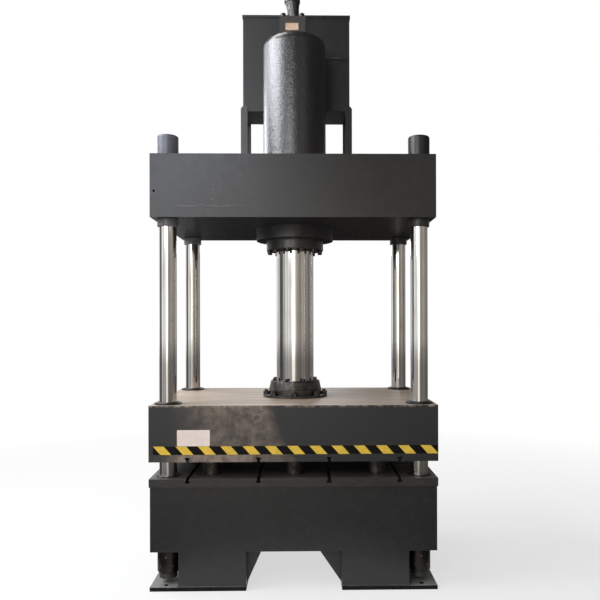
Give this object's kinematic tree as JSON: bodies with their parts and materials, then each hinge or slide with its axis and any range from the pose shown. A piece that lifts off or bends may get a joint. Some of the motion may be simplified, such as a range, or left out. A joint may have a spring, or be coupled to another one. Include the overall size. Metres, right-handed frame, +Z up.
{
  "type": "four-column hydraulic press",
  "caption": "Upright hydraulic press: a T-slotted slide driven by an overhead cylinder runs on columns between a welded bed and a crown; an oil tank stands on the crown.",
  "frame": {"origin": "on the floor, in the middle of the press's overall plan, on the ram's centre line", "axes": "+Z up; the front faces -Y; +X to the right seen from the front"},
  "size_m": [1.8, 1.12, 4.2045],
  "materials": {
    "dark_grey_paint": "semi-gloss",
    "oiled_table_steel": "satin",
    "turned_steel": "satin",
    "bolt_steel": "satin",
    "hard_chrome": "polished",
    "bearing_bronze": "machined",
    "seal_rubber": "matt",
    "black_plastic": "satin"
  },
  "bodies": {
    "frame": {"bed_frame": "dark_grey_paint", "foot_plate_left": "dark_grey_paint", "foot_plate_right": "dark_grey_paint", "crown_beam": "dark_grey_paint", "cylinder_barrel": "dark_grey_paint", "cylinder_lock_nut": "dark_grey_paint", "gland": "dark_grey_paint", "head_block": "dark_grey_paint", "tank_body": "dark_grey_paint", "tank_lid": "dark_grey_paint", "tank_stand_left": "dark_grey_paint", "tank_stand_right": "dark_grey_paint", "pipe_reducer": "dark_grey_paint", "suction_pipe": "dark_grey_paint", "pipe_flange": "dark_grey_paint", "bed_plate": "oiled_table_steel", "stop_posts": "turned_steel", "column_base_rings": "turned_steel", "lower_nuts": "turned_steel", "cap_nuts": "turned_steel", "crown_ring_nuts": "turned_steel", "pipe_coupling": "turned_steel", "lower_nut_set_screws": "bolt_steel", "gland_bolts": "bolt_steel", "head_block_bolts": "bolt_steel", "pipe_flange_bolts": "bolt_steel", "tank_lid_screws": "bolt_steel", "tank_stand_bolts": "bolt_steel", "annulus_port_plug": "bolt_steel", "tank_drain_plug": "bolt_steel", "column_front_left": "hard_chrome", "column_front_right": "hard_chrome", "column_rear_left": "hard_chrome", "column_rear_right": "hard_chrome", "gland_bush": "bearing_bronze", "rod_seal": "seal_rubber", "rod_wiper": "seal_rubber", "filler_breather": "black_plastic", "level_gauge": "black_plastic"},
    "slide": {"slide_beam": "dark_grey_paint", "guide_flange_screws": "bolt_steel", "column_wipers": "seal_rubber", "ram": "hard_chrome", "piston": "turned_steel", "piston_seals": "seal_rubber", "piston_nut": "turned_steel", "ram_flange": "turned_steel", "ram_flange_studs": "bolt_steel", "ram_flange_nuts": "bolt_steel", "split_ring": "turned_steel", "clamp_ring": "turned_steel", "clamp_ring_bolts": "bolt_steel", "guide_bush_front_left": "bearing_bronze", "guide_bush_front_right": "bearing_bronze", "guide_bush_rear_left": "bearing_bronze", "guide_bush_rear_right": "bearing_bronze", "guide_flange_front_left": "turned_steel", "guide_flange_front_right": "turned_steel", "guide_flange_rear_left": "turned_steel", "guide_flange_rear_right": "turned_steel"}
  },
  "joints": [
    {"name": "slide_stroke", "type": "slide", "parent": "frame", "child": "slide", "axis": [0, 0, 1], "range_m": [-0.002, 0.82]}
  ]
}
